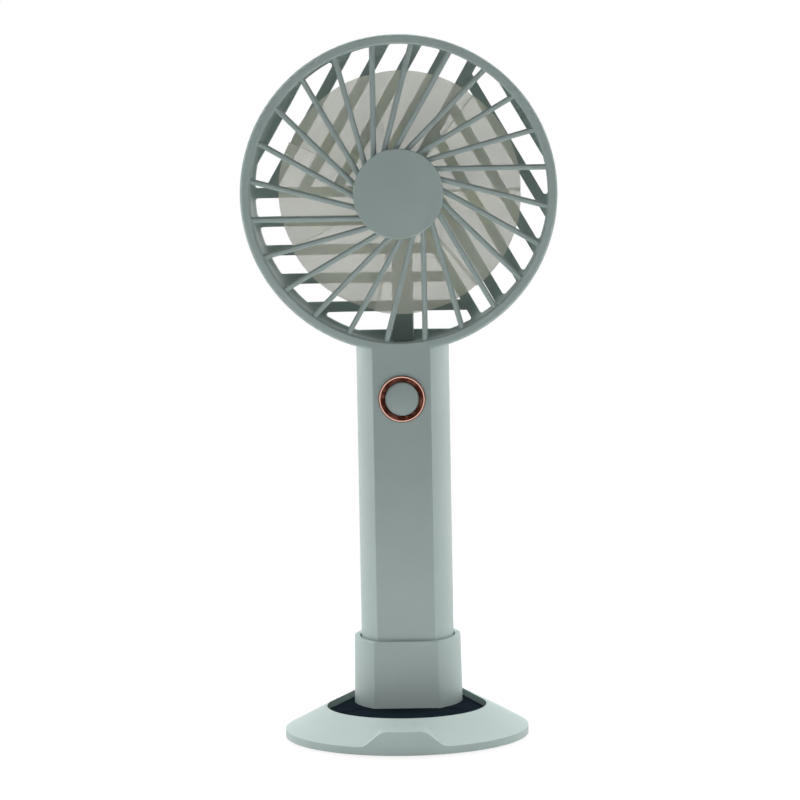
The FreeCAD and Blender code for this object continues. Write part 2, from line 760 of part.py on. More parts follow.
def make_front_shell():
    r, e, b = head_r, S["ring_round"], S["ring_bevel"]
    disc = turn_round("front_disc", [(0, 0), (0, r), (front + e, r), (front, r - e, e, "ccw"), (front, 0)])
    grip = half_grip("front_grip", -1)
    blank = fuse("front_blank", disc, grip)
    lip_back = group(front + S["ring_depth"])
    bore = turn_round("front_bore", [(1, 0), (1, bore_r), (lip_back, bore_r), (lip_back, ring_r),
                                     (front + b, ring_r), (front - 1, ring_r + b + 1), (front - 1, 0)])
    cradles = cradle_plates("front", -1)
    hollow = cut("front_hollow", blank, bore, grip_cavity("front_cavity"))
    wall = S["grip_wall"] / 2
    bosses = [rod("front_boss_%d" % number, boss_r, half_depth - wall, x, front + wall, z)
              for number, (x, z) in enumerate(shell_screw_points())]
    post_length = half_depth - wall - S["board_front"]
    posts = [rod("board_post_%d" % number, screw_r + 0.8, post_length, x, front + wall, z)
             for number, (x, z) in enumerate(board_post_points())]
    carriers = inside_grip("front_carriers", bosses + posts)
    solid = fuse("front_solid", hollow, carriers, *cradles)
    pilots = [rod("front_pilot_%d" % number, pilot_r, S["screw_length"] - shank_in_back + 0.5, x,
                  shank_in_back - S["screw_length"] - 0.5, z)
              for number, (x, z) in enumerate(shell_screw_points())]
    posts_pilot = [rod("post_pilot_%d" % number, pilot_r - 0.3, S["board_bite"] + 0.3, x,
                       -S["board_front"] - S["board_bite"] - 0.3, z)
                   for number, (x, z) in enumerate(board_post_points())]
    button_hole = rod("button_hole", sleeve_r, S["grip_wall"] + 2, 0, front - 1, button_z)
    finish("front_shell", cut("front_shell", solid, cell_space("front_cell_space"), button_hole,
                              *pilots, *posts_pilot))


def make_hub_cap():
    face = group(front - S["hub_rise"] - S["cap_thick"])
    r, t = S["cap_dia"] / 2, S["cap_thick"]
    edge = t / 3
    cap = turn_round("hub_cap", [(face, 0), (face, r - edge), (face + edge, r, edge, "cw"), (face + t, r),
                                 (face + t, 0)])
    finish("hub_cap", cap)


def bar_sector(angle):
    """One arm of the back grille and the bars parallel to it, pushed through the skin."""
    half, pitch = S["bar_width"] / 2, bar_pitch
    outlines = []
    count = int(S["bar_count"].value)
    for number in range(count + 1):
        low = pitch * number - half
        start = -(pitch * number / math.sqrt(3))
        high = pitch * number + half if number < count else pitch * number + head_r - half
        outlines.append([(start, low), (head_r, low), (head_r, high), (start, high)])
    turned = Rotation(Vector(0, -1, 0), angle).multiply(FRONT_PLANE)
    sketch = free_sketch("bars_%d_outline" % angle, outlines, rotation=turned, y=S["head_back"] + 2, z=axis_z)
    return extrude("bars_%d" % angle, sketch, S["bowl_round"] + 6, (0, -1, 0))


def back_core(name):
    """The flat middle of the head's back, inside its rounded edge."""
    return rod(name, grille_r, S["head_back"] + 1, 0, 0, axis_z)


def rounded_gaps(gaps):
    """The gaps of the back grille with their outer corners rounded."""
    doc.recompute()
    axis, limit = Vector(0, 0, axis_z.value), gap_r.value - S["fit_clear"].value
    solids = []
    for solid in gaps.Shape.Solids:
        corners = []
        for edge in solid.Edges:
            middle = edge.CenterOfMass - axis
            if len(edge.Vertexes) == 2 and math.hypot(middle.x, middle.z) > limit:
                if abs(edge.Vertexes[0].Y - edge.Vertexes[1].Y) > edge.Length * 0.999:
                    corners.append(edge)
        spans = [first.CenterOfMass.distanceToPoint(second.CenterOfMass)
                 for index, first in enumerate(corners) for second in corners[:index]]
        radius = min([S["gap_round"].value] + [span / 4 for span in spans])
        solids.append(solid.makeFillet(radius, corners))
    rounded = doc.addObject("Part::Feature", "rounded_gaps")
    rounded.Shape = Part.makeCompound(solids)
    return rounded


def make_rear_shell():
    """The back half of the housing, and the back grille with the motor cup as a piece of its own."""
    r, e, hb = head_r, S["bowl_round"], S["head_back"]
    disc = turn_round("rear_disc", [(0, 0), (hb, 0), (hb, r - e), (hb - e, r, e, "ccw"), (0, r)])
    blank = fuse("rear_blank", disc, half_grip("rear_grip", 1))
    inner_round = group(e - S["head_wall"])
    bowl = turn_round("rear_bowl", [(-1, 0), (skin_y, 0), (skin_y, bore_r - inner_round),
                                    (skin_y - inner_round, bore_r, inner_round, "ccw"), (-1, bore_r)])
    hollow = cut("rear_hollow", blank, bowl, grip_cavity("rear_cavity"))
    gap_start = hb - e + 0.5
    gap_disc = rod("gap_disc", gap_r, e + 2, 0, gap_start, axis_z)
    hub_disc = rod("hub_disc", cup_r, e + 6, 0, gap_start - 1, axis_z)
    gaps = cut("grille_gaps", gap_disc, hub_disc, *[bar_sector(angle) for angle in (60, 180, 300)])
    open_back = cut("rear_open", hollow, rounded_gaps(gaps))
    cup = tube("motor_cup", cup_r, cup_r - S["cup_wall"], S["cup_depth"], 0, skin_y - S["cup_depth"], axis_z)
    duct_top = cup_r - S["cup_wall"] / 2
    duct_length = group(bore_r - duct_top + S["head_wall"] / 2)
    duct = box("duct_block", S["duct_width"], skin_y + 1 - S["duct_front"], duct_length,
               -(S["duct_width"] / 2), S["duct_front"], axis_z - duct_top - duct_length)
    wall = S["grip_wall"] / 2
    bosses = [rod("rear_boss_%d" % number, boss_r, half_depth - wall, x, 0, z)
              for number, (x, z) in enumerate(shell_screw_points())]
    posts = [rod("charge_post_%d" % number, screw_r + 0.6, half_depth - wall - charge_back, x, charge_back, z)
             for number, (x, z) in enumerate(charge_post_points())]
    carriers = inside_grip("rear_carriers", bosses + posts)
    solid = fuse("rear_solid", open_back, cup, duct, carriers, *cradle_plates("rear", 1))
    slot_depth = group(skin_y - S["duct_front"] - 1.7)
    slot = box("duct_slot", S["slot_width"], slot_depth, bore_r - cup_r + 5,
               -(S["slot_width"] / 2), S["duct_front"], axis_z - bore_r)
    passage_foot = group(cavity_top - 2)
    passage_height = group(axis_z - bore_r + S["lead_rise"] - passage_foot)
    passage = box("lead_passage", S["slot_width"], inner_wall_y - S["duct_front"], passage_height,
                  -(S["slot_width"] / 2), S["duct_front"], passage_foot)
    holes = []
    for number, (x, z) in enumerate(shell_screw_points()):
        holes.append(rod("rear_hole_%d" % number, screw_r + S["screw_clear"] * 2, half_depth, x, 0, z))
        holes.append(rod("rear_sink_%d" % number, S["screw_head"] / 2 + S["screw_clear"], sink_depth, x,
                         shank_in_back, z))
    port_side = group(S["port_width"] / 2 + S["fit_clear"])
    port = box("port_hole", port_side * 2, S["grip_wall"] + 2, S["port_height"] + S["fit_clear"] * 2,
               -port_side, inner_wall_y - 1, port_z - S["port_height"] / 2 - S["fit_clear"])
    light = rod("light_hole", light_r + S["screw_clear"], S["grip_wall"] + 2, 0, inner_wall_y - 1, light_z)
    whole = cut("rear_whole", solid, slot, passage, port, light, cell_space("rear_cell_space"), *holes)
    finish("rear_shell", cut("rear_shell", whole, back_core("shell_core")))
    finish("rear_grille", common("rear_grille", whole, back_core("grille_core")))


def charge_post_points():
    side, up = S["charge_width"] / 2 - 1.8, S["charge_length"] / 2 - 1.8
    return [(side * a, charge_z + up * b) for a in (-1, 1) for b in (-1, 1)]


def make_wire_cover():
    top = group(cup_r + S["fit_clear"])
    length = group(bore_r - top - S["fit_clear"])
    cover = box("cover_strip", S["duct_width"], S["cover_thick"], length, -(S["duct_width"] / 2),
                S["duct_front"] - S["cover_thick"], axis_z - top - length)
    snap = box("cover_rib", S["slot_width"] - S["fit_clear"], 1, length - 6,
               -group((S["slot_width"] - S["fit_clear"]) / 2), S["duct_front"], axis_z - top - length + 3)
    finish("wire_cover", fuse("wire_cover", cover, snap))


def make_end_cap():
    plate = grip_block("end_plate", 0, grip_end, S["end_thick"])
    inset = S["grip_wall"] + S["screw_clear"]
    spigot = grip_block("end_spigot", -inset, S["grip_base"], S["spigot_length"])
    space = grip_block("end_space", -(inset + 1.4), S["grip_base"], S["spigot_length"])
    finish("end_cap", fuse("end_cap", plate, cut("end_ring", spigot, space)))


def make_shell_screws():
    screws = []
    for number, (x, z) in enumerate(shell_screw_points()):
        head = rod("shell_screw_head_%d" % number, S["screw_head"] / 2, S["head_thick"], x, shank_in_back, z)
        drive = box("shell_screw_slot_%d" % number, S["screw_head"] + 1, 1, 0.6,
                    x - S["screw_head"] / 2 - 0.5, shank_in_back + S["head_thick"] - 0.6, z - 0.3)
        shank = rod("shell_screw_shank_%d" % number, screw_r, S["screw_length"], x,
                    shank_in_back - S["screw_length"], z)
        screws.append(fuse("shell_screw_%d" % number, cut("shell_screw_top_%d" % number, head, drive), shank))
    finish("shell_screws", loose("shell_screws", *screws))


# Button, its ring, its board and switch

def make_button_ring():
    """A sleeve through the wall with a narrow front edge and a slope that falls towards the button."""
    inner, outer, lip = S["ring_inner"] / 2, S["ring_outer"] / 2, S["ring_lip"]
    wall_back, face = group(front + S["grip_wall"]), group(front - S["ring_proud"])
    ring = turn_round("button_ring", [(wall_back, inner), (wall_back, sleeve_r), (front, sleeve_r),
                                      (front, outer), (face + lip / 2, outer), (face, outer - lip / 2),
                                      (face, outer - lip), (front, inner)], z=button_z)
    finish("button_ring", ring)


def make_button_cap():
    r = S["button_dia"] / 2
    flange = group(sleeve_r - 0.3)
    step = button_back - 0.6
    dish, edge = size(0.3), size(0.4)
    cap = turn_round("button_cap", [(button_front + dish, 0), (button_front, r - edge * 2),
                                    (button_front + edge, r), (step, r), (step, flange), (button_back, flange),
                                    (button_back, 0)], z=button_z)
    finish("button_cap", cap)


def make_switch_plunger():
    finish("switch_plunger", rod("switch_plunger", plunger_r, S["plunger_length"], 0, button_back, button_z))


def make_tact_switch():
    side = S["switch_size"]
    depth = group(-S["board_front"] - switch_front)
    body = box("switch_body", side, depth, side, -(side / 2), switch_front, button_z - side / 2)
    well = rod("switch_well", plunger_r + S["screw_clear"], S["plunger_length"] + 0.1, 0, switch_front,
               button_z)
    finish("tact_switch", cut("tact_switch", body, well))


def make_button_board():
    width, length = S["board_width"], S["board_length"]
    board = box("board_blank", width, S["board_thick"], length, -(width / 2), -S["board_front"],
                board_z - length / 2)
    holes = [rod("board_hole_%d" % number, pilot_r - 0.2, S["board_thick"], x, -S["board_front"], z)
             for number, (x, z) in enumerate(board_post_points())]
    finish("button_board", cut("button_board", board, *holes))


def make_board_screws():
    screws = []
    back = S["board_thick"] - S["board_front"]
    for number, (x, z) in enumerate(board_post_points()):
        head = rod("board_screw_head_%d" % number, screw_r + 0.5, 1, x, back, z)
        shank = rod("board_screw_shank_%d" % number, screw_r - 0.3, S["board_bite"] + S["board_thick"], x,
                    -S["board_front"] - S["board_bite"], z)
        screws.append(fuse("board_screw_%d" % number, head, shank))
    finish("board_screws", loose("board_screws", *screws))


# Power

def make_battery():
    r, edge = cell_r, size(0.6)
    z, top = cell_bottom, cell_top
    can = rod("cell_can", r, S["cell_length"] - edge, 0, 0, z, upright=True)
    button = rod("cell_button", r * 0.3, edge, 0, 0, top - edge, upright=True)
    finish("battery_cell", fuse("battery_cell", can, button))


def make_battery_tabs():
    r, thick = cell_r * 0.3, S["tab_thick"]
    low = box("tab_low", r * 2, cell_r, thick, -r, 0, cell_bottom - thick)
    high = box("tab_high", r * 2, cell_r, thick, -r, 0, cell_top)
    finish("battery_tabs", loose("battery_tabs", low, high))


def make_charge_board():
    width, length = S["charge_width"], S["charge_length"]
    board = box("charge_board", width, S["charge_thick"], length, -(width / 2), S["charge_front"],
                charge_z - length / 2)
    finish("charge_board", board)


def make_charge_port():
    width, height, wall = S["port_width"], S["port_height"], size(0.35)
    length = group(half_depth - 0.6 - charge_back)
    shell = box("port_shell", width, length, height, -(width / 2), charge_back, port_z - height / 2)
    space = box("port_space", width - wall * 2, length - 1.5, height - wall * 2, wall - width / 2,
                charge_back + 1.5, port_z - height / 2 + wall)
    tongue = box("port_tongue", width - 3, length - 2.5, 0.7, -group(width / 2 - 1.5), charge_back + 1.2,
                 port_z - 0.35)
    finish("charge_port", fuse("charge_port", cut("port_can", shell, space), tongue))


def make_charge_light():
    finish("charge_light", rod("charge_light", light_r, half_depth - charge_back, 0, charge_back, light_z))


# Motor

def make_motor_can():
    wall = S["can_wall"]
    can = turn_round("motor_can", [(can_front, bush_r), (can_front, can_r), (can_back, can_r),
                                   (can_back, can_r - wall), (can_front + wall, can_r - wall),
                                   (can_front + wall, bush_r)])
    finish("motor_can", can)


def make_motor_cap():
    boss = group(bush_r + 0.9)
    back = skin_y - 0.6
    cap = turn_round("motor_end_cap", [(skin_y, 0), (skin_y, can_r), (can_back, can_r), (can_back, boss),
                                       (rear_bush, boss), (rear_bush, bush_r), (back, bush_r), (back, 0)])
    finish("motor_end_cap", cap)


def make_bushings():
    y = can_front - S["bush_length"] / 3
    front_bush = tube("front_bushing", bush_r, bush_hole, S["bush_length"], 0, y, axis_z)
    back_bush = tube("rear_bushing", bush_r, bush_hole, S["bush_length"], 0, rear_bush, axis_z)
    finish("motor_bushings", loose("motor_bushings", front_bush, back_bush))


def make_magnets():
    length = S["core_length"] + 0.6
    ring = tube("magnet_ring", can_r - S["can_wall"], magnet_in, length, 0, core_front - 0.3, axis_z)
    gap = box("magnet_gap", S["can_dia"], length, S["magnet_gap"], -can_r, core_front - 0.3,
              axis_z - S["magnet_gap"] / 2)
    finish("motor_magnets", cut("motor_magnets", ring, gap))


def make_armature():
    core = tube("core_blank", core_r, shaft_r, S["core_length"], 0, core_front, axis_z)
    slots = []
    for number in range(3):
        slot = doc.addObject("Part::Box", "core_slot_%d" % number)
        bind(slot, Length=S["core_slot"], Width=S["core_length"], Height=core_r)
        turn = Rotation(Vector(0, 1, 0), 120 * number)
        start = turn.multVec(Vector(-S["core_slot"].value / 2, 0, core_r.value * 0.45))
        slot.Placement = Placement(start + Vector(0, core_front.value, axis_z.value), turn)
        slots.append(slot)
    finish("armature_core", cut("armature_core", core, *slots))
    finish("commutator", tube("commutator", shaft_r + 1.4, shaft_r, S["brush_length"], 0, core_back,
                               axis_z))


def make_shaft():
    length = group(skin_y - 0.8 - shaft_end)
    finish("motor_shaft", rod("motor_shaft", shaft_r, length, 0, shaft_end, axis_z))


def bent_wire(points, bend):
    """A line of straight runs joined by tangent arcs of one radius."""
    edges = []
    start = points[0]
    for before, corner, after in zip(points, points[1:], points[2:]):
        back = (before - corner).normalize()
        ahead = (after - corner).normalize()
        half_turn = (math.pi - back.getAngle(ahead)) / 2
        reach = bend * math.tan(half_turn)
        first, last = corner + back * reach, corner + ahead * reach
        middle_way = (back + ahead).normalize()
        centre = corner + middle_way * (bend / math.cos(half_turn))
        middle = centre - middle_way * bend
        edges.append(Part.LineSegment(start, first).toShape())
        edges.append(Part.Arc(first, middle, last).toShape())
        start = last
    edges.append(Part.LineSegment(start, points[-1]).toShape())
    return Part.Wire(edges)


def make_leads():
    """Two leads from the motor's end cap through the duct to the button board."""
    lead_r, side = S["lead_dia"].value / 2, S["lead_pitch"].value / 2
    slot_y = skin_y.value - 2.6
    duct_y = (S["duct_front"].value + inner_wall_y.value) / 2
    wall_z = axis_z.value - bore_r.value
    board_back = S["board_thick"].value - S["board_front"].value
    step, end_z = S["lead_step"].value, board_top.value - S["lead_end"].value
    solids = []
    for sign in (-1, 1):
        x = side * sign
        points = [Vector(x, slot_y, axis_z.value - can_r.value - 0.5), Vector(x, slot_y, wall_z + step),
                  Vector(x, duct_y, wall_z + step / 4), Vector(x, duct_y, board_top.value + 1),
                  Vector(x, duct_y / 4, end_z), Vector(x, board_back, end_z)]
        path = bent_wire(points, S["lead_bend"].value)
        circle = Part.Wire(Part.Circle(points[0], points[1] - points[0], lead_r).toShape())
        solids.append(path.makePipeShell([circle], True, False))
    leads = doc.addObject("Part::Feature", "motor_leads")
    leads.Shape = Part.makeCompound(solids)
    finish("motor_leads", leads)


# Impeller

def blade_solid(start_angle):
    """One broad blade: thin radial sections that climb towards the back as they turn."""
    steps = 10
    span, thick = math.radians(S["blade_span"].value), S["blade_thick"].value
    root_r, tip_r = S["fan_hub_dia"].value / 2 - 0.6, S["fan_dia"].value / 2
    low, high = -S["blade_front"].value, S["fan_depth"].value - S["blade_front"].value - thick
    centre = Vector(0, 0, axis_z.value)
    wires = []
    for step in range(steps + 1):
        share = step / steps
        angle = start_angle + span * share
        y = low + (high - low) * share
        drop = S["blade_drop"].value * abs(2 * share - 1) ** 4
        out = Vector(math.cos(angle), 0, math.sin(angle))
        corners = [out * root_r + Vector(0, y, 0), out * (tip_r - drop) + Vector(0, y, 0),
                   out * (tip_r - drop) + Vector(0, y + thick, 0), out * root_r + Vector(0, y + thick, 0)]
        corners = [centre + corner for corner in corners]
        wires.append(Part.makePolygon(corners + [corners[0]]))
    return Part.makeLoft(wires, True, False)


def make_impeller():
    r, wall = S["fan_hub_dia"] / 2, size(1.2)
    face = group(-S["fan_front"] - 0.5)
    back = group(S["fan_depth"] - S["blade_front"] + 0.3)
    boss_back = group(shaft_end + S["boss_depth"])
    hub = turn_round("fan_hub", [(face, 0), (face, r - 1.5), (face + 1.5, r, 1.5, "cw"), (back, r),
                                 (back, r - wall), (face + wall + 1, r - wall), (face + wall + 1, shaft_r + 2),
                                 (boss_back, shaft_r + 2), (boss_back, shaft_r), (shaft_end, shaft_r),
                                 (shaft_end, 0)])
    blades = []
    count = int(S["fan_blades"].value)
    for number in range(count):
        blade = doc.addObject("Part::Feature", "fan_blade_%d" % number)
        blade.Shape = blade_solid(2 * math.pi * number / count)
        blades.append(blade)
    impeller = fuse("impeller", hub, *blades)
    impeller.Refine = False
    finish("impeller", impeller)


make_base_shell()
make_base_mat()
make_base_plate()
make_base_weight()
make_base_screws()
make_foot_pad()
make_socket_collar()
make_socket_pad()
make_front_shell()
make_front_grille()
make_hub_cap()
make_rear_shell()
make_wire_cover()
make_end_cap()
make_shell_screws()
make_button_ring()
make_button_cap()
make_switch_plunger()
make_tact_switch()
make_button_board()
make_board_screws()
make_battery()
make_battery_tabs()
make_charge_board()
make_charge_port()
make_charge_light()
make_motor_can()
make_motor_cap()
make_bushings()
make_magnets()
make_armature()
make_shaft()
make_leads()
make_impeller()

doc.recompute()

for obj in doc.Objects:
    if "Invalid" in obj.State or "Error" in obj.State:
        raise RuntimeError("%s failed: %s" % (obj.Name, obj.State))

os.makedirs("parts", exist_ok=True)
for name, obj in finished:
    shape = obj.Shape
    if shape.isNull() or not shape.isValid() or not shape.Solids:
        raise RuntimeError("%s has no valid solid" % name)
for name, obj in finished:
    obj.Shape.exportStep("parts/%s.step" % name)
    corners = obj.Shape.BoundBox
    print("%-16s %d solid(s) %9.1f mm3  x %.1f..%.1f  y %.1f..%.1f  z %.1f..%.1f" % (
        name, len(obj.Shape.Solids), obj.Shape.Volume, corners.XMin, corners.XMax,
        corners.YMin, corners.YMax, corners.ZMin, corners.ZMax))
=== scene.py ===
import json
import math

import bmesh
import bpy
from mathutils import Matrix, Vector

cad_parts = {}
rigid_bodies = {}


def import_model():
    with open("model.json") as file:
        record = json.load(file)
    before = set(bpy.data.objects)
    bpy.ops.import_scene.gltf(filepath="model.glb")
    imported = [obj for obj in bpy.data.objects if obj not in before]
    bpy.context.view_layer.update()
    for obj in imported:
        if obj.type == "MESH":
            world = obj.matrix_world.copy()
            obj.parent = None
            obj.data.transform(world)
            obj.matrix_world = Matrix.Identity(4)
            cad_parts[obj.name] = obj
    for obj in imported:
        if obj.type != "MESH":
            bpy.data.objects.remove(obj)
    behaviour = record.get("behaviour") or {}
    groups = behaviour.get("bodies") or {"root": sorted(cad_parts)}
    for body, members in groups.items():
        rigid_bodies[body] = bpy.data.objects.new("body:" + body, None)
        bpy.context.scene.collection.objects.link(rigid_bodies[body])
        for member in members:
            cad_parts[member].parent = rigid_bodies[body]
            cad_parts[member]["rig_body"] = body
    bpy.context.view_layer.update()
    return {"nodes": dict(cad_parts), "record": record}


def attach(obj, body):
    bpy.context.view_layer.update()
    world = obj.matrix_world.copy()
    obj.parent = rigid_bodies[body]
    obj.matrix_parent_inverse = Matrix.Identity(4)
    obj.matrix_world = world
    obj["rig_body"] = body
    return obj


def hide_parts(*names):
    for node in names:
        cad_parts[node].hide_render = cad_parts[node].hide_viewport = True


# Handheld fan in its desk stand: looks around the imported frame, in metres, +Z up and -Y the front.

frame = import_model()
nodes = frame["nodes"]
MM = 0.001

# Camera, measured on the photograph: a long lens a little above and to the right of straight on.
# The focal share is the focal length over the sensor's width.
camera_target = Vector((-1.11, 0, 104.4)) * MM
camera_distance = 1.1
camera_azimuth = math.radians(1.85)
camera_elevation = math.radians(5.18)
camera_roll = math.radians(-1.03)
camera_focal_share = 4.295

# Colours, linear; the second of a pair is the colour of its patches
SAGE = (0.302, 0.37, 0.357)
SAGE_DEEP = (0.284, 0.35, 0.337)
NEAR_BLACK = (0.004, 0.0095, 0.0135)
NEAR_BLACK_DEEP = (0.006, 0.011, 0.016)
PAD_BLACK = (0.02, 0.02, 0.021)
PAD_GREY = (0.028, 0.028, 0.029)
PART_BLACK = (0.025, 0.025, 0.027)
PART_GREY = (0.03, 0.03, 0.032)
WRAP_BLUE = (0.05, 0.12, 0.38)
WRAP_DEEP = (0.045, 0.11, 0.34)
PIPE_WHITE = (0.8, 0.8, 0.77)
PIPE_CLOUD = (0.76, 0.76, 0.74)
FERRITE = (0.04, 0.04, 0.045)
FERRITE_GREY = (0.055, 0.055, 0.06)
LEAD_RED = (0.35, 0.02, 0.02)
LEAD_DEEP = (0.3, 0.018, 0.018)
MILKY = (0.79, 0.8, 0.69)
MILKY_DEEP = (0.765, 0.775, 0.665)
# Button ring plating: painted dark reflection and lighter painted reflection spots on the slope, and the
# plating's own colour on its painted highlight line
ROSE_PAINTED_DARK_REFLECTION = (0.04, 0.011, 0.007)
ROSE_PAINTED_REFLECTION = (0.2, 0.075, 0.055)
ROSE_GOLD = (0.8, 0.47, 0.38)
BOARD_GREEN = (0.02, 0.11, 0.05)
BOARD_DEEP = (0.016, 0.09, 0.04)
TRACK_GREEN = (0.04, 0.2, 0.08)
STEEL = (0.5, 0.5, 0.51)
DARK_STEEL = (0.12, 0.12, 0.13)
NICKEL = (0.58, 0.57, 0.54)
BRONZE = (0.5, 0.3, 0.12)

# Noise: scales are cells per metre, and most values of a field lie between the two ends
noise_low = 0.3
noise_high = 0.7
coarse_detail = 2.0
fine_detail = 3.0

# Moulded plastic and rubber: gloss patches are coarser than the grain, and vary the roughness
moulded_grain = 7000.0
moulded_relief = 0.012 * MM
moulded_shine = 0.4
flow_patches = 60.0
gloss_patch_share = 0.4
gloss_dip = 0.04
gloss_rise = 0.06

# Metals: lines drawn along Z, or turned round Y, darken the colour and vary the roughness
metal_grain = 3000.0
metal_relief = 0.004 * MM
drawn_lines = (1, 1, 0.04)
turned_lines = (1, 0.1, 1)
line_shade = 0.82
line_gloss_rise = 0.12

# Impeller
blade_clouds = 90.0
blade_grain = 5000.0
blade_relief = 0.006 * MM
blade_roughness = 0.5
blade_alpha = 0.5

# Button ring: a painted highlight line along its front edge, and the slope painted dark as painted
# reflection, with lighter painted reflection spots
highlight_line_inset = 0.4 * MM
highlight_line_width = 0.32 * MM
painted_reflection_spots = 700.0
painted_reflection_low = 0.45
painted_reflection_high = 0.75
plating_smears = 900.0
plating_gloss = 0.14
plating_smeared = 0.22

# Circuit boards
track_scale = 260.0
track_gap = 0.06
track_relief = 0.02 * MM
board_roughness = 0.3

# Rounded edges of the moulded pieces, and the angle from which an edge is rounded
shell_edge = 0.25 * MM
rib_edge = 0.18 * MM
small_edge = 0.12 * MM
sharp_angle = math.radians(32)
edge_segments = 2
weld_distance = 0.002 * MM
flat_angle = math.radians(0.6)

# World's strength as light, by the side that it comes from
front_light = 0.17
side_light = 0.2
back_light = 1.1

# Floor: it keeps a share of its shading, and so the object's shadow, out to the core, and none past the reach
floor_size = 6.0
floor_white = 0.8
floor_roughness = 0.9
shadow_share = 0.16
shadow_core = 0.06
shadow_reach = 0.35


# Nodes of a material

def feed(tree, value, socket):
    """Links another node's output to a socket, or sets the socket to a plain value or colour."""
    if isinstance(value, bpy.types.NodeSocket):
        tree.links.new(value, socket)
    elif socket.type == "RGBA":
        socket.default_value = (*value, 1)
    else:
        socket.default_value = value


def node_tree(name):
    """A new material's tree with its shader and object coordinates."""
    material = bpy.data.materials.new(name)
    material.use_nodes = True
    tree = material.node_tree
    shader = tree.nodes["Principled BSDF"]
    place = tree.nodes.new("ShaderNodeTexCoord").outputs["Object"]
    return material, tree, shader, place


def math_node(tree, operation, *values):
    """A calculation on numbers and other nodes' outputs."""
    node = tree.nodes.new("ShaderNodeMath")
    node.operation = operation
    for value, socket in zip(values, node.inputs):
        feed(tree, value, socket)
    return node.outputs["Value"]


def vector_node(tree, operation, vector, other):
    """A vector combined with another, axis by axis."""
    node = tree.nodes.new("ShaderNodeVectorMath")
    node.operation = operation
    feed(tree, vector, node.inputs[0])
    feed(tree, other, node.inputs[1])
    return node.outputs["Vector"]


def length(tree, vector):
    """The length of a vector."""
    node = tree.nodes.new("ShaderNodeVectorMath")
    node.operation = "LENGTH"
    feed(tree, vector, node.inputs[0])
    return node.outputs["Value"]


def noise(tree, place, scale, detail=coarse_detail, stretch=None):
    """A noise field in object space; stretch scales the three axes."""
    if stretch:
        mapping = tree.nodes.new("ShaderNodeMapping")
        feed(tree, stretch, mapping.inputs["Scale"])
        feed(tree, place, mapping.inputs["Vector"])
        place = mapping.outputs["Vector"]
    field = tree.nodes.new("ShaderNodeTexNoise")
    feed(tree, scale, field.inputs["Scale"])
    feed(tree, detail, field.inputs["Detail"])
    feed(tree, place, field.inputs["Vector"])
    return field.outputs["Fac"]


def spread(tree, value, low, high, from_low=noise_low, from_high=noise_high):
    """Maps a value from one range to another and holds it inside."""
    span = tree.nodes.new("ShaderNodeMapRange")
    feed(tree, value, span.inputs["Value"])
    feed(tree, from_low, span.inputs["From Min"])
    feed(tree, from_high, span.inputs["From Max"])
    feed(tree, low, span.inputs["To Min"])
    feed(tree, high, span.inputs["To Max"])
    return span.outputs["Result"]


def blend_colours(tree, fac, first, second):
    """A blend of two colours."""
    mix = tree.nodes.new("ShaderNodeMix")
    mix.data_type = "RGBA"
    feed(tree, fac, mix.inputs["Factor"])
    feed(tree, first, mix.inputs["A"])
    feed(tree, second, mix.inputs["B"])
    return mix.outputs["Result"]


def bump(tree, shader, height, depth):
    """Fine relief from a height field; depth is in metres."""
    relief = tree.nodes.new("ShaderNodeBump")
    feed(tree, 1.0, relief.inputs["Strength"])
    feed(tree, depth, relief.inputs["Distance"])
    feed(tree, height, relief.inputs["Height"])
    feed(tree, relief.outputs["Normal"], shader.inputs["Normal"])


# Materials

def moulded(name, colour, second, roughness, grain=moulded_grain, depth=moulded_relief, shine=moulded_shine):
    """Moulded plastic or rubber: fine spark-eroded grain, faint flow patches and uneven gloss."""
    material, tree, shader, place = node_tree(name)
    patch = spread(tree, noise(tree, place, flow_patches, fine_detail), 0, 1)
    feed(tree, blend_colours(tree, patch, colour, second), shader.inputs["Base Color"])
    gloss_patch = noise(tree, place, grain * gloss_patch_share)
    gloss = spread(tree, gloss_patch, roughness - gloss_dip, roughness + gloss_rise)
    feed(tree, gloss, shader.inputs["Roughness"])
    feed(tree, shine, shader.inputs["Specular IOR Level"])
    bump(tree, shader, noise(tree, place, grain, fine_detail), depth)
    return material


def metal(name, colour, roughness, lines=drawn_lines):
    """Plated or brushed metal with fine lines and slightly uneven gloss."""
    material, tree, shader, place = node_tree(name)
    line = noise(tree, place, metal_grain, fine_detail, lines)
    darker = tuple(line_shade * part for part in colour)
    feed(tree, blend_colours(tree, spread(tree, line, 0, 1), darker, colour), shader.inputs["Base Color"])
    feed(tree, spread(tree, line, roughness, roughness + line_gloss_rise), shader.inputs["Roughness"])
    feed(tree, 1.0, shader.inputs["Metallic"])
    bump(tree, shader, line, metal_relief)
    return material


def milky_blade():
    """Milky polypropylene that lets the grille behind it show through."""
    material, tree, shader, place = node_tree("frosted_blade")
    cloud = spread(tree, noise(tree, place, blade_clouds, fine_detail), 0, 1)
    feed(tree, blend_colours(tree, cloud, MILKY, MILKY_DEEP), shader.inputs["Base Color"])
    feed(tree, blade_roughness, shader.inputs["Roughness"])
    feed(tree, blade_alpha, shader.inputs["Alpha"])
    bump(tree, shader, noise(tree, place, blade_grain), blade_relief)
    return material


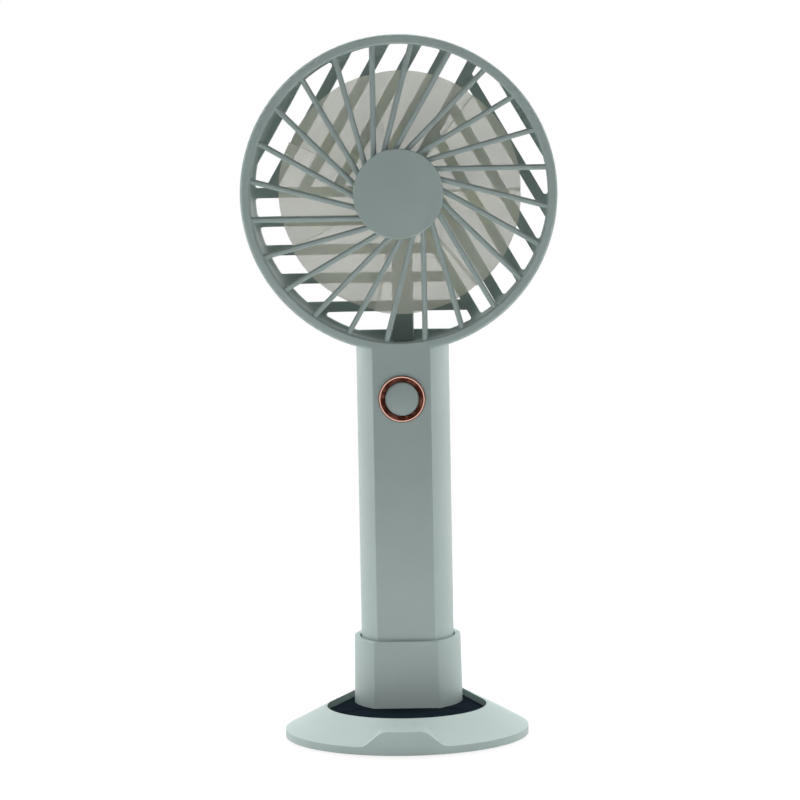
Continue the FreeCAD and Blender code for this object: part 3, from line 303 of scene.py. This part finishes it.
def plated_ring(ring):
    """Rose gold plating with a painted highlight line along the front edge, and painted dark reflection with
    lighter painted reflection spots on the slope.
    """
    material, tree, shader, place = node_tree("rose_gold")
    corners = [Vector(corner) for corner in ring.bound_box]
    middle = sum(corners, Vector()) / len(corners)
    outer = max(corner.x for corner in corners) - middle.x
    from_middle = vector_node(tree, "SUBTRACT", place, middle)
    from_axis = vector_node(tree, "MULTIPLY", from_middle, (1, 0, 1))
    # Painted highlight line along the front edge; elsewhere painted dark reflection with lighter painted
    # reflection spots
    painted_highlight_line = math_node(tree, "COMPARE", length(tree, from_axis), outer - highlight_line_inset, highlight_line_width / 2)
    painted_reflections = spread(tree, noise(tree, place, painted_reflection_spots, fine_detail), 0, 1, painted_reflection_low, painted_reflection_high)
    slope = blend_colours(tree, painted_reflections, ROSE_PAINTED_DARK_REFLECTION, ROSE_PAINTED_REFLECTION)
    feed(tree, blend_colours(tree, painted_highlight_line, slope, ROSE_GOLD), shader.inputs["Base Color"])
    gloss = spread(tree, noise(tree, place, plating_smears), plating_gloss, plating_smeared)
    feed(tree, gloss, shader.inputs["Roughness"])
    feed(tree, 1.0, shader.inputs["Metallic"])
    return material


def board():
    """Green solder mask over faint copper tracks."""
    material, tree, shader, place = node_tree("board_green")
    turn = tree.nodes.new("ShaderNodeMapping")
    feed(tree, (math.pi / 2, 0, 0), turn.inputs["Rotation"])
    feed(tree, place, turn.inputs["Vector"])
    tracks = tree.nodes.new("ShaderNodeTexBrick")
    feed(tree, turn.outputs["Vector"], tracks.inputs["Vector"])
    feed(tree, track_scale, tracks.inputs["Scale"])
    feed(tree, track_gap, tracks.inputs["Mortar Size"])
    feed(tree, BOARD_GREEN, tracks.inputs["Color1"])
    feed(tree, BOARD_DEEP, tracks.inputs["Color2"])
    feed(tree, TRACK_GREEN, tracks.inputs["Mortar"])
    feed(tree, tracks.outputs["Color"], shader.inputs["Base Color"])
    feed(tree, board_roughness, shader.inputs["Roughness"])
    bump(tree, shader, tracks.outputs["Fac"], track_relief)
    return material


materials = {
    "sage_plastic": moulded("sage_plastic", SAGE, SAGE_DEEP, roughness=0.5),
    "dark_rubber": moulded("dark_rubber", NEAR_BLACK, NEAR_BLACK_DEEP, roughness=0.85, grain=4200.0,
                           depth=0.02 * MM, shine=0.01),
    "pad_rubber": moulded("pad_rubber", PAD_BLACK, PAD_GREY, roughness=0.75, grain=3500.0, depth=0.03 * MM),
    "dark_plastic": moulded("dark_plastic", PART_BLACK, PART_GREY, roughness=0.45),
    "steel": metal("steel", STEEL, roughness=0.3),
    "screw_steel": metal("screw_steel", DARK_STEEL, roughness=0.35, lines=turned_lines),
    "rose_gold": plated_ring(nodes["button_ring"]),
    "board_green": board(),
    "cell_wrap": moulded("cell_wrap", WRAP_BLUE, WRAP_DEEP, roughness=0.25, grain=1800.0, depth=0.01 * MM),
    "nickel": metal("nickel", NICKEL, roughness=0.25),
    "light_pipe": moulded("light_pipe", PIPE_WHITE, PIPE_CLOUD, roughness=0.3),
    "bronze": metal("bronze", BRONZE, roughness=0.35),
    "ferrite": moulded("ferrite", FERRITE, FERRITE_GREY, roughness=0.6, grain=2500.0, depth=0.03 * MM),
    "lead_jacket": moulded("lead_jacket", LEAD_RED, LEAD_DEEP, roughness=0.4),
    "frosted_blade": milky_blade(),
}
slot_of_node = {row["node"]: row["material_slot"] for row in frame["record"]["subparts"]}

for name, node in nodes.items():
    for holder in node.material_slots:
        holder.link = "OBJECT"
        holder.material = materials[slot_of_node[name]]


# Pieces

def dressed(node_name, edge):
    """The node's form again with its moulded edges rounded, standing in for the node."""
    source = nodes[node_name]
    mesh = source.data.copy()
    form = bmesh.new()
    form.from_mesh(mesh)
    bmesh.ops.remove_doubles(form, verts=form.verts, dist=weld_distance)
    bmesh.ops.dissolve_limit(form, angle_limit=flat_angle, verts=form.verts, edges=form.edges)
    form.to_mesh(mesh)
    form.free()
    if "custom_normal" in mesh.attributes:
        mesh.attributes.remove(mesh.attributes["custom_normal"])
    mesh.polygons.foreach_set("use_smooth", [True] * len(mesh.polygons))
    slot = slot_of_node[node_name]
    mesh.materials.clear()
    mesh.materials.append(materials[slot])
    piece = bpy.data.objects.new(node_name + "_skin", mesh)
    bpy.context.scene.collection.objects.link(piece)
    rounding = piece.modifiers.new("rounding", "BEVEL")
    rounding.width = edge
    rounding.segments = edge_segments
    rounding.limit_method = "ANGLE"
    rounding.angle_limit = sharp_angle
    rounding.use_clamp_overlap = True
    rounding.harden_normals = True
    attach(piece, source["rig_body"])
    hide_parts(node_name)


for name in ("front_shell", "rear_shell", "socket_collar", "base_shell"):
    dressed(name, shell_edge)
for name in ("front_grille", "rear_grille", "hub_cap"):
    dressed(name, rib_edge)
for name in ("button_cap", "button_ring", "end_cap", "base_mat", "wire_cover", "charge_port"):
    dressed(name, small_edge)


# Floor, background, light and camera

def background_seen(tree):
    """1 where a ray should see the plain white background, otherwise 0."""
    rays = tree.nodes.new("ShaderNodeLightPath").outputs
    seen = rays["Is Camera Ray"]
    for kind in ("Is Glossy Ray", "Is Transmission Ray"):
        seen = math_node(tree, "MAXIMUM", seen, rays[kind])
    return seen


def make_world():
    """White where it is seen; as light, brighter behind the object than in front of it."""
    world = bpy.data.worlds.new("studio")
    world.use_nodes = True
    tree = world.node_tree
    background = tree.nodes["Background"]
    feed(tree, (1, 1, 1), background.inputs["Color"])
    split = tree.nodes.new("ShaderNodeSeparateXYZ")
    feed(tree, tree.nodes.new("ShaderNodeTexCoord").outputs["Generated"], split.inputs["Vector"])
    depth = split.outputs["Y"]
    ahead = spread(tree, depth, front_light, side_light, -1.0, 0.0)
    behind = spread(tree, depth, 0.0, back_light - side_light, 0.0, 1.0)
    light = math_node(tree, "ADD", ahead, behind)
    strength = spread(tree, background_seen(tree), light, 1.0, 0.0, 1.0)
    feed(tree, strength, background.inputs["Strength"])
    bpy.context.scene.world = world


def make_floor():
    """A plain pale floor that shows the background's white and the object's soft shadow."""
    half = floor_size / 2
    corners = [(-half, -half, 0), (half, -half, 0), (half, half, 0), (-half, half, 0)]
    mesh = bpy.data.meshes.new("floor")
    mesh.from_pydata(corners, [], [(0, 1, 2, 3)])
    floor = bpy.data.objects.new("floor", mesh)
    bpy.context.scene.collection.objects.link(floor)
    material, tree, shader, place = node_tree("floor")
    feed(tree, (floor_white, floor_white, floor_white), shader.inputs["Base Color"])
    feed(tree, floor_roughness, shader.inputs["Roughness"])
    feed(tree, 0.0, shader.inputs["Specular IOR Level"])
    plain = spread(tree, length(tree, place), 1.0 - shadow_share, 1.0, shadow_core, shadow_reach)
    glow = tree.nodes.new("ShaderNodeEmission")
    mix = tree.nodes.new("ShaderNodeMixShader")
    feed(tree, math_node(tree, "MULTIPLY", plain, background_seen(tree)), mix.inputs["Fac"])
    feed(tree, shader.outputs["BSDF"], mix.inputs[1])
    feed(tree, glow.outputs["Emission"], mix.inputs[2])
    feed(tree, mix.outputs["Shader"], tree.nodes["Material Output"].inputs["Surface"])
    mesh.materials.append(material)


def make_lamp(name, place, energy, size, aim=camera_target, beam=math.radians(180)):
    """A soft rectangular lamp; the beam is the angle that its light spreads over."""
    data = bpy.data.lights.new(name, "AREA")
    data.shape = "RECTANGLE"
    data.size, data.size_y = size
    data.energy = energy
    data.spread = beam
    lamp = bpy.data.objects.new(name, data)
    lamp.location = place
    lamp.rotation_euler = (aim - Vector(place)).to_track_quat("-Z", "Y").to_euler()
    bpy.context.scene.collection.objects.link(lamp)


def make_camera():
    """The photograph's camera, turned by its roll round the line of sight."""
    data = bpy.data.cameras.new("camera")
    data.lens = data.sensor_width * camera_focal_share
    camera = bpy.data.objects.new("camera", data)
    level = Vector((math.sin(camera_azimuth), -math.cos(camera_azimuth), 0))
    back = level * math.cos(camera_elevation) + Vector((0, 0, math.sin(camera_elevation)))
    right = back.cross(Vector((0, 0, -1))).normalized()
    up = back.cross(right)
    turned = right * math.cos(camera_roll) + up * math.sin(camera_roll)
    axes = Matrix((turned, back.cross(turned), back)).transposed()
    camera.matrix_world = Matrix.LocRotScale(
        camera_target + back * camera_distance, axes.to_quaternion(), None)
    bpy.context.scene.collection.objects.link(camera)
    bpy.context.scene.camera = camera


make_world()
make_floor()
make_lamp("left_lamp", place=(-0.8, 0.22, 0.3), energy=4.0, size=(0.7, 0.9))
make_lamp("right_lamp", place=(0.8, 0.22, 0.3), energy=3.25, size=(0.7, 0.9))
make_lamp("left_back_lamp", place=(-0.6, 0.6, 0.3), energy=1.9, size=(0.6, 0.8))
make_lamp("right_back_lamp", place=(0.6, 0.6, 0.3), energy=1.9, size=(0.6, 0.8))
make_lamp("top_lamp", place=(0, 0.6, 1.92), energy=62.0, size=(1.8, 1.3))
make_lamp("low_lamp", place=(0, -0.35, 0.06), energy=0.036, size=(0.4, 0.05),
          aim=Vector((0, 0, 0.01)), beam=math.radians(25))
make_camera()
bpy.context.scene.view_settings.view_transform = "Standard"
